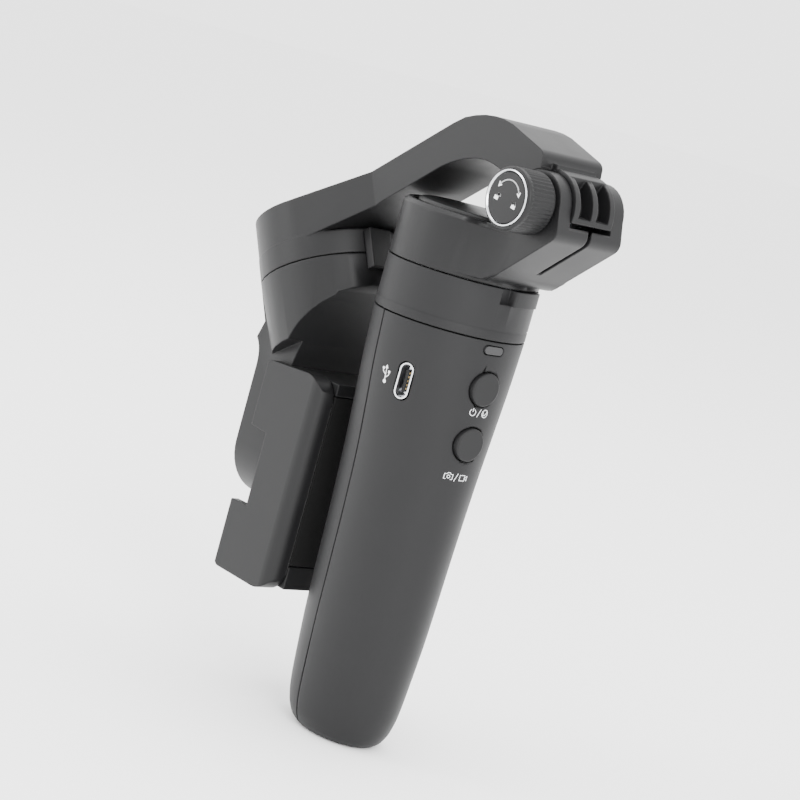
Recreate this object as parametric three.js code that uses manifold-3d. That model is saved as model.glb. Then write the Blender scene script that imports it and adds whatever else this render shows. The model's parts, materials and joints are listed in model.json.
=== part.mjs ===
// Folding three-axis camera gimbal for a phone, in its folded state.
// Units are millimetres. +Z runs up the handle, from the flat foot at its base. +X is the hinge and
// button side. -Y is the side with the locking knob and the clamp's back plate.
import * as THREE from 'three';
import { mergeVertices } from 'three/addons/utils/BufferGeometryUtils.js';
import Module from 'manifold-3d';

const wasm = await Module();
wasm.setup();

// ---------------------------------------------------------------- driving dimensions

const fitGap = 0.3;                 // air between pieces that touch
const runGap = 0.45;                // air between pieces that move past each other

// handle
const handleLength = 93;
const shellWall = 1.8;
const floorThickness = 3;
const partingX = -3;                // plane where the front shell meets the rear cover
const gripSections = [              // share of the length, half depth along X, half width along Y
  [0, 10.4, 8.0], [0.012, 11.7, 9.1], [0.04, 13.0, 10.2], [0.085, 13.9, 10.9], [0.16, 14.5, 11.4],
  [0.28, 15.2, 12.0], [0.5, 15.8, 12.6], [0.65, 16.2, 13.3], [0.78, 16.45, 14.5], [0.89, 16.5, 15.7],
  [1, 16.5, 16.5],
];
const insertRadius = 4.6;
const insertBore = 2.7;
const insertLength = 9;
const batteryRadius = 7.1;
const batteryLength = 50;
const boardThickness = 1.2;
const boardHalfWidth = 6.5;
const boardLength = 30;

// controls on the handle, as depths below the handle's top seam
const buttonRadius = 3.65;
const buttonGap = 0.25;
const buttonProud = 0.5;
const buttonDepths = { power_button: 10.3, shutter_button: 22.4 };
const buttonY = -0.6;
const lampDepth = 1.95;
const lampY = -1.1;
const lampWidth = 5;
const lampHeight = 1.7;
const usbDepth = 12.8;
const usbAzimuth = 24;              // degrees from -Y towards +X
const usbHeight = 7.8;
const usbWidth = 3.2;
const screwRadius = 1.9;
const coverScrewDepths = { upper_cover_screw: 22, lower_cover_screw: 78 };

// pan motor
const collarRadius = 16.5;
const collarHeight = 11.25;
const rotorRadius = 16.4;
const rotorHeight = 12.35;
const rotorWall = 1.9;
const panCapRadius = 13.4;
const panCapProud = 0.7;

// hinge between the yoke and the folding arm, from the pan axis and the handle's top seam
const hingeX = 24.5;
const hingeRise = 30.4;
const earRadius = 7;
const earThickness = 3.3;
const knuckleRadius = 7.8;
const knuckleHalf = 5.75;
const slitWidth = 1.1;
const boltRadius = 2;
const nutRadius = 3.4;
const nutThickness = 1.9;
const knobRadius = 6.5;
const knobLength = 8;
const knobTeeth = 24;
const knobDiscRadius = 5.5;

// folding arm and roll motor
const armHalf = 8.8;
const armThickness = 7.6;
const rollX = -39;
const rollDrop = 0.8;               // seam centre below the handle's top seam
const rollLean = 32.5;              // degrees that the roll axis leans from vertical
const drumRadius = 17.1;
const drumLedge = 5;
const drumHeight = 14.3;

// roll arm and tilt motor
const rollRotorRadius = 16.3;
const rollRotorHeight = 8;
const flareDepth = 50;              // how far down the drum's edge opens out into the flat arm
const rollArmHalf = 12;
const rollArmOuterX = -44;
const rollArmInnerX = -32.2;
const tiltDrop = 41.5;              // tilt axis below the handle's top seam

// motors: outer radii of the magnet rings, and what is common to them
const bigMagnetRadius = 14.3;
const smallMagnetRadius = 10.2;
const magnetThickness = 1.3;
const airGap = 0.5;
const housingGap = 0.4;

// phone clamp
const clampRightX = -18;
const clampBodyLeftX = -30.9;
const flangeLeftX = -38;
const waistLeftX = -32;
const plateFaceY = -14.2;
const plateThickness = 4.4;
const flangeThickness = 1.8;
const phoneRestY = 13;
const phoneGap = 8.6;
const lipThickness = 2.2;
const lipReach = 2.4;
const clampTopDrop = 20;
const clampHeight = 49;
const waistTopDrop = 36.2;
const waistHeight = 17.2;
const fixedJawThickness = 2.6;
const slidingJawThickness = 5.2;
const jawRelief = 3.2;              // how far the jaws' lips stand back from the roll motor's drum
const tubeRadius = 2.5;
const tubeWall = 0.7;
const tubeClearOfTop = 2;
const springRadius = 1.45;
const springWire = 0.6;
const padThickness = 1;

// smoothness of round surfaces
const fine = 32;
const medium = 20;
const coarse = 12;

// ---------------------------------------------------------------- derived places

const seamZ = handleLength;
const panSeamZ = seamZ + collarHeight;
const hingeZ = seamZ + hingeRise;
const rollZ = seamZ - rollDrop;
const tiltZ = seamZ - tiltDrop;
const yokeHalf = knuckleHalf + fitGap + earThickness;
const clampTopZ = seamZ - clampTopDrop;
const clampBottomZ = clampTopZ - clampHeight;

const up = new THREE.Matrix4();
const panFrame = new THREE.Matrix4().makeTranslation(0, 0, panSeamZ);
// Roll frame: its +Z is the roll axis from the seam up into the folding arm, its +X rises along the arm.
const rollFrame = new THREE.Matrix4().makeTranslation(rollX, 0, rollZ)
  .multiply(new THREE.Matrix4().makeRotationY(THREE.MathUtils.degToRad(-rollLean)));
// The motor in the roll joint hangs upside down: its stator is above the seam.
const rollMotorFrame = rollFrame.clone().multiply(new THREE.Matrix4().makeRotationX(Math.PI));
// Tilt motor: +Z of its frame is +X of the model.
const tiltFrame = new THREE.Matrix4().makeTranslation(rollArmInnerX, 0, tiltZ)
  .multiply(new THREE.Matrix4().makeRotationY(Math.PI / 2));

// ---------------------------------------------------------------- solids

function solidOf(geometry, matrix = up) {
  const bare = geometry.clone();
  for (const name of Object.keys(bare.attributes)) {
    if (name !== 'position') bare.deleteAttribute(name);
  }
  bare.applyMatrix4(matrix);
  const merged = mergeVertices(bare, 1e-4);
  const index = merged.index.array;
  const triangles = [];
  for (let i = 0; i < index.length; i += 3) {
    const [a, b, c] = [index[i], index[i + 1], index[i + 2]];
    if (a !== b && b !== c && c !== a) triangles.push(a, b, c);
  }
  const vertProperties = new Float32Array(merged.attributes.position.array);
  const make = (list) => new wasm.Manifold(
    new wasm.Mesh({ numProp: 3, vertProperties, triVerts: new Uint32Array(list) }),
  );
  const solid = make(triangles);
  if (solid.volume() > 0) return solid;
  const flipped = [];
  for (let i = 0; i < triangles.length; i += 3) {
    flipped.push(triangles[i], triangles[i + 2], triangles[i + 1]);
  }
  return make(flipped);
}

function join(first, ...others) {
  return others.reduce((sum, other) => sum.add(other), first);
}

function cut(first, ...others) {
  return others.reduce((rest, other) => rest.subtract(other), first);
}

function box(x0, x1, y0, y1, z0, z1, matrix = up) {
  const geometry = new THREE.BoxGeometry(x1 - x0, y1 - y0, z1 - z0);
  geometry.translate((x0 + x1) / 2, (y0 + y1) / 2, (z0 + z1) / 2);
  return solidOf(geometry, matrix);
}

// Round bar along the frame's +Z, from z0 to z1, with another radius at its far end if it tapers.
function bar(radius, z0, z1, matrix = up, segments = medium, endRadius = radius) {
  const geometry = new THREE.CylinderGeometry(endRadius, radius, z1 - z0, segments);
  geometry.rotateX(Math.PI / 2);
  geometry.translate(0, 0, (z0 + z1) / 2);
  return solidOf(geometry, matrix);
}

// Ring turned about the frame's +Z.
function ring(inner, outer, z0, z1, matrix = up, segments = medium) {
  const profile = [[inner, z0], [outer, z0], [outer, z1], [inner, z1], [inner, z0]];
  return turned(profile, matrix, segments);
}

function turned(profile, matrix = up, segments = medium) {
  const geometry = new THREE.LatheGeometry(profile.map(([r, z]) => new THREE.Vector2(r, z)), segments);
  geometry.rotateX(Math.PI / 2);
  return solidOf(geometry, matrix);
}

// Rotations that take a flat outline and its extrusion to the model's planes.
const outlineXZ = new THREE.Matrix4().makeRotationX(Math.PI / 2);
const outlineYZ = new THREE.Matrix4().makeBasis(
  new THREE.Vector3(0, 1, 0), new THREE.Vector3(0, 0, 1), new THREE.Vector3(1, 0, 0),
);

// Where an arc meets a line, the outline's two end points are one.
function extruded(shape, depth, matrix, curveSegments = 8) {
  const points = shape.getPoints(curveSegments);
  const distinct = points.filter((p, i) => p.distanceTo(points[(i + 1) % points.length]) > 1e-3);
  const outline = new THREE.Shape(distinct);
  return solidOf(new THREE.ExtrudeGeometry(outline, { depth, bevelEnabled: false }), matrix);
}

// Outline drawn as (X, Z) and extruded from y0 to y1.
function prismY(shape, y0, y1, curveSegments) {
  const place = new THREE.Matrix4().makeTranslation(0, y1, 0).multiply(outlineXZ);
  return extruded(shape, y1 - y0, place, curveSegments);
}

// Outline drawn as (Y, Z) and extruded from x0 to x1.
function prismX(shape, x0, x1, curveSegments) {
  const place = new THREE.Matrix4().makeTranslation(x0, 0, 0).multiply(outlineYZ);
  return extruded(shape, x1 - x0, place, curveSegments);
}

// Outline drawn as (X, Y) of a frame and extruded from z0 to z1 of it.
function prismZ(shape, z0, z1, matrix = up, curveSegments) {
  const place = matrix.clone().multiply(new THREE.Matrix4().makeTranslation(0, 0, z0));
  return extruded(shape, z1 - z0, place, curveSegments);
}

function polygon(points) {
  return new THREE.Shape(points.map(([x, y]) => new THREE.Vector2(x, y)));
}

// Rectangle with a rounding radius for each corner: low left, low right, high right, high left.
function roundedRectangle(x0, x1, y0, y1, [r00, r10, r11, r01]) {
  const shape = new THREE.Shape();
  shape.moveTo(x0 + r00, y0);
  shape.lineTo(x1 - r10, y0);
  if (r10) shape.absarc(x1 - r10, y0 + r10, r10, -Math.PI / 2, 0);
  shape.lineTo(x1, y1 - r11);
  if (r11) shape.absarc(x1 - r11, y1 - r11, r11, 0, Math.PI / 2);
  shape.lineTo(x0 + r01, y1);
  if (r01) shape.absarc(x0 + r01, y1 - r01, r01, Math.PI / 2, Math.PI);
  shape.lineTo(x0, y0 + r00);
  if (r00) shape.absarc(x0 + r00, y0 + r00, r00, Math.PI, Math.PI * 1.5);
  return shape;
}

// Closed body through oval sections [z, half depth, half width].
function loft(sections, segments) {
  const positions = [];
  const index = [];
  for (const [z, a, b] of sections) {
    for (let i = 0; i < segments; i += 1) {
      const angle = (i / segments) * Math.PI * 2;
      positions.push(a * Math.cos(angle), b * Math.sin(angle), z);
    }
  }
  const last = sections.length - 1;
  for (let s = 0; s < last; s += 1) {
    for (let i = 0; i < segments; i += 1) {
      const j = (i + 1) % segments;
      const [p, q] = [s * segments + i, s * segments + j];
      index.push(p, q, q + segments, p, q + segments, p + segments);
    }
  }
  positions.push(0, 0, sections[0][0], 0, 0, sections[last][0]);
  const low = sections.length * segments;
  for (let i = 0; i < segments; i += 1) {
    const j = (i + 1) % segments;
    index.push(low, j, i, low + 1, last * segments + i, last * segments + j);
  }
  const geometry = new THREE.BufferGeometry();
  geometry.setAttribute('position', new THREE.Float32BufferAttribute(positions, 3));
  geometry.setIndex(index);
  return solidOf(geometry);
}

// ---------------------------------------------------------------- the model and its materials

const gimbal = new THREE.Group();
gimbal.name = 'camera_gimbal';

const finish = {
  shell: [0x3a3a3d, 0.5, 0], arm: [0x303033, 0.48, 0], button: [0x38383b, 0.55, 0],
  pad: [0x101011, 0.9, 0], metal: [0xb9bcc0, 0.35, 1], steel: [0x8b8e92, 0.3, 1],
  core: [0x6b4a2a, 0.6, 0.4], magnet: [0x55585c, 0.4, 0.8], board: [0x184028, 0.6, 0],
  battery: [0x2c5fa0, 0.5, 0], brass: [0xb08d4a, 0.35, 1], lamp: [0xa8adb0, 0.3, 0],
};

function material([color, roughness, metalness]) {
  return new THREE.MeshStandardMaterial({ color, roughness, metalness });
}

function add(name, look, solid) {
  const { vertProperties, triVerts } = solid.getMesh();
  const geometry = new THREE.BufferGeometry();
  geometry.setAttribute('position', new THREE.BufferAttribute(new Float32Array(vertProperties), 3));
  geometry.setIndex(new THREE.BufferAttribute(new Uint32Array(triVerts), 1));
  geometry.computeVertexNormals();
  const mesh = new THREE.Mesh(geometry, material(finish[look]));
  mesh.name = name;
  gimbal.add(mesh);
}

// ---------------------------------------------------------------- motors

// Every motor has the same build. In its frame, z = 0 is the seam, the stator is below it and the
// rotor above. The boss stands on the stator housing's floor and belongs to that housing.
function motorSizes(magnetRadius, depth) {
  const coreRadius = magnetRadius - magnetThickness - airGap;
  const bossRadius = coreRadius * 0.48;
  return {
    magnetRadius,
    coreRadius,
    bossRadius,
    cavityRadius: magnetRadius + housingGap,
    bearingRadius: bossRadius - 1.0 - fitGap,
    shaftRadius: bossRadius * 0.42,
    floor: -depth,
    top: -0.5 * fitGap,
  };
}

function motorBoss(m, frame) {
  const [root, seat, high] = [m.floor - 0.6, m.floor + 1, m.top - 1.2];
  const [hole, bore] = [m.shaftRadius + fitGap, m.bossRadius - 1];
  const profile = [[hole, root], [m.bossRadius, root], [m.bossRadius, high], [bore, high], [bore, seat],
    [hole, seat], [hole, root]];
  return turned(profile, frame, medium);
}

function motorCavity(m, frame) {
  return bar(m.cavityRadius, m.floor, 1, frame, fine);
}

// Laminated core with nine wound teeth.
function statorCore(m, frame) {
  const teeth = 9;
  const body = ring(m.bossRadius + fitGap, m.coreRadius, m.floor + 2, m.top - 1.5, frame, 36);
  const slots = [];
  for (let i = 0; i < teeth; i += 1) {
    const turn = new THREE.Matrix4().makeRotationZ(((i + 0.5) / teeth) * Math.PI * 2);
    const place = frame.clone().multiply(turn);
    const inner = m.bossRadius + fitGap + 1.4;
    slots.push(box(inner, m.coreRadius + 1, -0.55, 0.55, m.floor + 1, m.top, place));
  }
  return cut(body, ...slots);
}

function addMotor(prefix, m, frame, shaftTop) {
  add(`${prefix}_stator_core`, 'core', statorCore(m, frame));
  add(`${prefix}_magnet_ring`, 'magnet',
    ring(m.magnetRadius - magnetThickness, m.magnetRadius, m.floor + 1.5, m.top, frame, fine));
  add(`${prefix}_bearing`, 'steel',
    ring(m.shaftRadius + fitGap, m.bearingRadius, m.floor + 1 + fitGap, m.floor + 4.2, frame, medium));
  add(`${prefix}_shaft`, 'steel', bar(m.shaftRadius, m.floor + 0.4, shaftTop, frame, medium));
}

const panMotor = motorSizes(bigMagnetRadius, collarHeight - 0.5 * fitGap - 1.9);
const rollMotor = motorSizes(bigMagnetRadius, 10.4);
const tiltMotor = motorSizes(smallMagnetRadius, rollArmInnerX - rollArmOuterX - 3.2);

// ---------------------------------------------------------------- handle

function gripAt(height) {
  const share = THREE.MathUtils.clamp(height / handleLength, 0, 1);
  let i = 1;
  while (i < gripSections.length - 1 && gripSections[i][0] < share) i += 1;
  const [s0, a0, b0] = gripSections[i - 1];
  const [s1, a1, b1] = gripSections[i];
  const t = (share - s0) / (s1 - s0);
  return { halfDepth: a0 + (a1 - a0) * t, halfWidth: b0 + (b1 - b0) * t };
}

function gripLoft(inset, bottom, top) {
  const heights = [bottom, ...gripSections.map(([s]) => s * handleLength), top]
    .filter((z, i, list) => i === 0 || i === list.length - 1 || (z > bottom + 0.5 && z < top - 0.5));
  const sections = heights.map((z) => {
    const { halfDepth, halfWidth } = gripAt(z);
    return [z, halfDepth - inset, halfWidth - inset];
  });
  return loft(sections, fine);
}

const handleTop = seamZ - 0.5 * fitGap;
const gripOuter = gripLoft(0, 0, handleTop);
const gripInner = gripLoft(shellWall, floorThickness, handleTop + 1);
const gripWall = cut(gripOuter, gripInner);

// A frame on the grip's surface at an azimuth: +Z points out, +Y points up.
function surfaceFrame(azimuth, depth) {
  const angle = THREE.MathUtils.degToRad(azimuth);
  const out = new THREE.Vector3(Math.sin(angle), -Math.cos(angle), 0);
  const { halfDepth, halfWidth } = gripAt(seamZ - depth);
  const reach = 1 / Math.hypot(out.x / halfDepth, out.y / halfWidth);
  const side = new THREE.Vector3(0, 0, 1).cross(out).normalize();
  const frame = new THREE.Matrix4().makeBasis(side, new THREE.Vector3(0, 0, 1), out);
  return frame.setPosition(out.x * reach, out.y * reach, seamZ - depth);
}

// X of the shell's inner face
function innerFaceX(y, depth) {
  const { halfDepth, halfWidth } = gripAt(seamZ - depth);
  return (halfDepth - shellWall) * Math.sqrt(1 - (y / (halfWidth - shellWall)) ** 2);
}

function faceFrame(y, depth) {
  const { halfDepth, halfWidth } = gripAt(seamZ - depth);
  const x = halfDepth * Math.sqrt(1 - (y / halfWidth) ** 2);
  const frame = new THREE.Matrix4().makeBasis(
    new THREE.Vector3(0, 1, 0), new THREE.Vector3(0, 0, 1), new THREE.Vector3(1, 0, 0),
  );
  return frame.setPosition(x, y, seamZ - depth);
}

function pill(width, height) {
  const r = Math.min(width, height) / 2;
  return roundedRectangle(-width / 2, width / 2, -height / 2, height / 2, [r, r, r, r].map((v) => v * 0.98));
}

const usbFrame = surfaceFrame(usbAzimuth, usbDepth);
const lampFrame = faceFrame(lampY, lampDepth);
const buttonFrames = Object.fromEntries(
  Object.entries(buttonDepths).map(([name, depth]) => [name, faceFrame(buttonY, depth)]),
);
const coverScrewFrames = Object.fromEntries(
  Object.entries(coverScrewDepths).map(([name, depth]) => [name, surfaceFrame(270, depth)]),
);

// front shell: the +X side, with the openings for the socket, the lamp and the buttons
{
  const half = box(partingX + 0.5 * fitGap, 30, -30, 30, -1, seamZ + 1);
  const openings = [
    prismZ(pill(usbWidth + 2 * fitGap, usbHeight + 2 * fitGap), -6, 3, usbFrame, 5),
    prismZ(pill(lampWidth + 2 * fitGap, lampHeight + 2 * fitGap), -6, 3, lampFrame, 4),
    bar(insertRadius + fitGap, -1, floorThickness + 1, up, medium),
  ];
  for (const frame of Object.values(buttonFrames)) {
    openings.push(bar(buttonRadius + buttonGap, -6, 3, frame, medium));
  }
  add('handle_shell', 'shell', cut(gripWall.intersect(half), ...openings));
}

// rear cover: the -X side, with recesses for its screws
{
  const half = box(-30, partingX - 0.5 * fitGap, -30, 30, -1, seamZ + 1);
  const recesses = [bar(insertRadius + fitGap, -1, floorThickness + 1, up, medium)];
  for (const frame of Object.values(coverScrewFrames)) {
    recesses.push(bar(screwRadius + fitGap, -0.9, 3, frame, coarse));
    recesses.push(bar(0.9 + fitGap, -6, 3, frame, coarse));
  }
  add('handle_rear_cover', 'shell', cut(gripWall.intersect(half), ...recesses));
  for (const [name, frame] of Object.entries(coverScrewFrames)) {
    const head = bar(screwRadius, -0.9 + 0.15, -0.05, frame, coarse);
    const shank = bar(0.9, -5, -0.5, frame, coarse);
    const socket = bar(0.8, -0.45, 1, frame, 6);
    add(name, 'steel', cut(join(head, shank), socket));
  }
}

// threaded insert in the foot, with a flange inside the floor
{
  const low = ring(insertBore, insertRadius, 0, insertLength, up, medium);
  const flange = ring(insertBore, insertRadius + 1.6, floorThickness + fitGap, floorThickness + 1.8, up, medium);
  add('tripod_insert', 'brass', join(low, flange));
}

// battery, in a carrier that stands on the insert's flange
const batteryLowZ = insertLength + 2;
{
  const axisX = -0.2;
  const at = new THREE.Matrix4().makeTranslation(axisX, 0, 0);
  const cell = bar(batteryRadius, batteryLowZ, batteryLowZ + batteryLength, at, medium);
  const nub = bar(2.6, batteryLowZ + batteryLength - 0.5, batteryLowZ + batteryLength + 0.8, at, coarse);
  add('battery_cell', 'battery', join(cell, nub));
  const wallRadius = batteryRadius + fitGap + 0.9;
  const cradle = ring(batteryRadius + fitGap, wallRadius, batteryLowZ - 1.2, batteryLowZ + 22, at, medium);
  const base = bar(wallRadius, batteryLowZ - 1.2, batteryLowZ - fitGap, at, medium);
  const opening = box(axisX + 3, 30, -30, 30, batteryLowZ - 0.1, batteryLowZ + 30);
  add('battery_carrier', 'board', cut(join(cradle, base), opening));
}

// controller board behind the buttons, with the two switches
const boardX = gripAt(seamZ - 16).halfDepth - shellWall - 3.4;
const boardTop = seamZ - 3.5;
{
  add('controller_board', 'board', box(boardX - boardThickness, boardX, -boardHalfWidth, boardHalfWidth,
    boardTop - boardLength, boardTop));
}

// socket shell, seen through the opening
{
  const outer = prismZ(pill(usbWidth, usbHeight), -5, -0.25, usbFrame, 5);
  const inner = prismZ(pill(usbWidth - 0.8, usbHeight - 0.8), -4.4, 1, usbFrame, 5);
  const tongue = box(-0.35, 0.35, -usbHeight * 0.3, usbHeight * 0.3, -4.6, -1.2, usbFrame);
  add('usb_socket', 'metal', join(cut(outer, inner), tongue));
}

add('status_lamp', 'lamp', prismZ(pill(lampWidth, lampHeight), -2.6, 0.0, lampFrame, 4));

// buttons: caps in the shell's holes, each over a switch on the board
for (const [name, frame] of Object.entries(buttonFrames)) {
  const surfaceX = frame.elements[12];
  const flangeRadius = buttonRadius + buttonGap + 0.5;
  const flangeOut = innerFaceX(buttonY - flangeRadius, buttonDepths[name]) - surfaceX - runGap;
  const rim = 0.35;
  const profile = [
    [0, flangeOut - 0.5], [flangeRadius, flangeOut - 0.5], [flangeRadius, flangeOut],
    [buttonRadius, flangeOut], [buttonRadius, buttonProud - rim], [buttonRadius - rim, buttonProud],
    [0, buttonProud - 0.12],
  ];
  add(name, 'button', turned(profile, frame, medium));
  const switchOut = flangeOut - 0.5 - 0.8;
  const switchBack = boardX + fitGap - surfaceX;
  const body = box(-2, 2, -2, 2, switchBack, Math.max(switchBack + 0.4, switchOut - 0.3), frame);
  const plunger = bar(0.9, switchBack, Math.max(switchBack + 0.6, switchOut), frame, coarse);
  add(name.replace('button', 'switch'), 'metal', join(body, plunger));
}

// ---------------------------------------------------------------- pan motor and yoke

// collar: cup that stands on the handle, with the stop rib and the notch beside it
{
  const low = seamZ + 0.5 * fitGap;
  const high = panSeamZ - 0.5 * fitGap;
  const line = 2.2;
  const profile = [
    [0, low], [collarRadius, low], [collarRadius, seamZ + line - 0.2], [collarRadius - 0.2, seamZ + line],
    [collarRadius, seamZ + line + 0.2], [collarRadius, high], [0, high], [0, low],
  ];
  const body = cut(turned(profile, up, fine), motorCavity(panMotor, panFrame));
  const ribShape = new THREE.Shape();
  const from = THREE.MathUtils.degToRad(0);
  const to = THREE.MathUtils.degToRad(34);
  ribShape.absarc(0, 0, collarRadius + 0.6, from, to, false);
  ribShape.absarc(0, 0, collarRadius - 1, to, from, true);
  const rib = prismZ(ribShape, seamZ + 7.8, high, up, 5);
  const notchShape = new THREE.Shape();
  notchShape.absarc(0, 0, collarRadius + 2, THREE.MathUtils.degToRad(-11), from, false);
  notchShape.absarc(0, 0, collarRadius - 1.1, from, THREE.MathUtils.degToRad(-11), true);
  const notch = prismZ(notchShape, seamZ + 7.8, high + 1, up, 3);
  const wire = bar(1.6, seamZ - 1, seamZ + 3, new THREE.Matrix4().makeTranslation(-9.5, 0, 0), coarse);
  add('pan_collar', 'shell', cut(join(body, motorBoss(panMotor, panFrame), rib), notch, wire));
}

addMotor('pan', panMotor, panFrame, 2.0);

const rotorLow = panSeamZ + 0.5 * fitGap;
const rotorHigh = panSeamZ + rotorHeight;

// outline of the yoke's side, from the rotor out to the ears
function yokeSide() {
  const baseX = rotorRadius - 5;
  const rise = (value) => seamZ + value;
  const shape = new THREE.Shape();
  shape.moveTo(baseX, rotorLow + 0.5);
  shape.lineTo(rotorRadius - 0.6, rotorLow + 0.9);
  shape.quadraticCurveTo(rotorRadius + 1.6, rotorLow + 1.2, rotorRadius + 3.4, rise(14.6));
  shape.lineTo(hingeX + 6.9, hingeZ - 6.2);
  shape.quadraticCurveTo(hingeX + 8.4, hingeZ - 5, hingeX + 8, hingeZ - 3.4);
  shape.lineTo(hingeX + earRadius, hingeZ + 0.4);
  shape.absarc(hingeX, hingeZ, earRadius, 0.06, Math.PI * 0.93, false);
  shape.lineTo(rotorRadius - 0.4, rotorHigh);
  shape.lineTo(baseX, rotorHigh);
  return shape;
}

// plan of the blend between the round rotor and the flat yoke
function yokeBlend() {
  const shape = new THREE.Shape();
  const reach = rotorRadius + 5.5;
  shape.moveTo(6, -15.2);
  shape.quadraticCurveTo(rotorRadius - 2, -yokeHalf - 0.6, reach, -yokeHalf);
  shape.lineTo(reach, yokeHalf);
  shape.quadraticCurveTo(rotorRadius - 2, yokeHalf + 0.6, 6, 15.2);
  return shape;
}

function hingeFrameAt(y) {
  // +Z of the frame is -Y of the model, so lengths grow towards the knob
  return new THREE.Matrix4().makeTranslation(hingeX, y, hingeZ)
    .multiply(new THREE.Matrix4().makeRotationX(Math.PI / 2));
}
const hingeFrame = hingeFrameAt(0);

{
  const chamfer = 0.9;
  const profile = [
    [0, rotorLow], [rotorRadius, rotorLow], [rotorRadius, rotorHigh - chamfer],
    [rotorRadius - chamfer, rotorHigh], [0, rotorHigh], [0, rotorLow],
  ];
  const drum = turned(profile, up, fine);
  const sides = prismY(yokeSide(), -yokeHalf, yokeHalf, 8);
  const underside = polygon([
    [0, rotorLow], [rotorRadius, rotorLow + 1.1], [rotorRadius + 3.4, seamZ + 14.6],
    [rotorRadius + 12, rotorHigh - chamfer], [0, rotorHigh - chamfer],
  ]);
  const blend = prismZ(yokeBlend(), rotorLow, rotorHigh, up, 6).intersect(prismY(underside, -20, 20));
  const cavity = bar(rotorRadius - rotorWall, rotorLow + 2.1, rotorHigh + 1, up, fine);
  const knuckleSeat = bar(knuckleRadius + runGap, -knuckleHalf - fitGap, knuckleHalf + fitGap, hingeFrame, fine);
  const above = box(rotorRadius - 3, hingeX + 30, -knuckleHalf - fitGap, knuckleHalf + fitGap,
    hingeZ - 1.9, hingeZ + 30);
  const left = box(rotorRadius + 0.1, hingeX, -knuckleHalf - fitGap, knuckleHalf + fitGap,
    hingeZ - 5, hingeZ + 30);
  const slit = prismY(polygon([[hingeX - 3, hingeZ - 6], [hingeX + 12, hingeZ - 1],
    [hingeX + 12, hingeZ - 12], [hingeX - 3, hingeZ - 16]]), -slitWidth / 2, slitWidth / 2);
  const bore = bar(boltRadius + fitGap, -20, 20, hingeFrame, medium);
  const nutPocket = bar(nutRadius + fitGap, -yokeHalf - 1, -yokeHalf + nutThickness + 0.2, hingeFrame, 6);
  const shaftHole = bar(panMotor.shaftRadius + fitGap, -1, 4, panFrame, medium);
  add('pan_yoke', 'arm', cut(join(drum, sides, blend), cavity, knuckleSeat, above, left, slit, bore,
    nutPocket, shaftHole));
}

// cap that closes the rotor
{
  const high = rotorHigh + panCapProud;
  const profile = [
    [0, rotorHigh - 2.4], [panCapRadius, rotorHigh - 2.4], [panCapRadius, high - 0.6],
    [panCapRadius - 0.6, high], [0, high], [0, rotorHigh - 2.4],
  ];
  const rim = ring(panCapRadius - 0.4, rotorRadius - rotorWall - fitGap, rotorHigh - 2.4, rotorHigh - 1.2, up, fine);
  add('pan_cap', 'arm', join(turned(profile, up, fine), rim));
}

// hinge bolt, nut and locking knob
const knobNear = yokeHalf + fitGap;
const knobFar = knobNear + knobLength;
{
  const shank = bar(boltRadius, -yokeHalf + 0.3, knobNear + 4, hingeFrame, medium);
  add('hinge_bolt', 'steel', shank);
  const nut = cut(bar(nutRadius, -yokeHalf, -yokeHalf + nutThickness, hingeFrame, 6),
    bar(boltRadius + fitGap, -20, 20, hingeFrame, medium));
  add('hinge_nut', 'steel', nut);
}

{
  const shape = new THREE.Shape();
  for (let i = 0; i < knobTeeth; i += 1) {
    const a = (i / knobTeeth) * Math.PI * 2;
    const step = (Math.PI * 2) / knobTeeth;
    for (const [share, radius] of [[0, knobRadius], [0.55, knobRadius], [0.78, knobRadius - 0.45]]) {
      const x = radius * Math.cos(a + share * step);
      const y = radius * Math.sin(a + share * step);
      if (i === 0 && share === 0) shape.moveTo(x, y);
      else shape.lineTo(x, y);
    }
  }
  const grip = prismZ(shape, knobNear, knobFar - 0.8, hingeFrame);
  const nose = bar(knobRadius, knobFar - 0.8, knobFar, hingeFrame, fine, knobRadius - 0.5);
  const recess = bar(knobDiscRadius + fitGap, knobFar - 0.6, knobFar + 1, hingeFrame, fine);
  const socket = bar(boltRadius + fitGap, 0, knobNear + 4 + fitGap, hingeFrame, medium);
  add('hinge_knob', 'arm', cut(join(grip, nose), recess, socket));
  const disc = bar(knobDiscRadius, knobFar - 0.6 + fitGap, knobFar + 0.35, hingeFrame, fine, knobDiscRadius - 0.2);
  add('knob_disc', 'arm', disc);
}

// ---------------------------------------------------------------- folding arm

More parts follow.
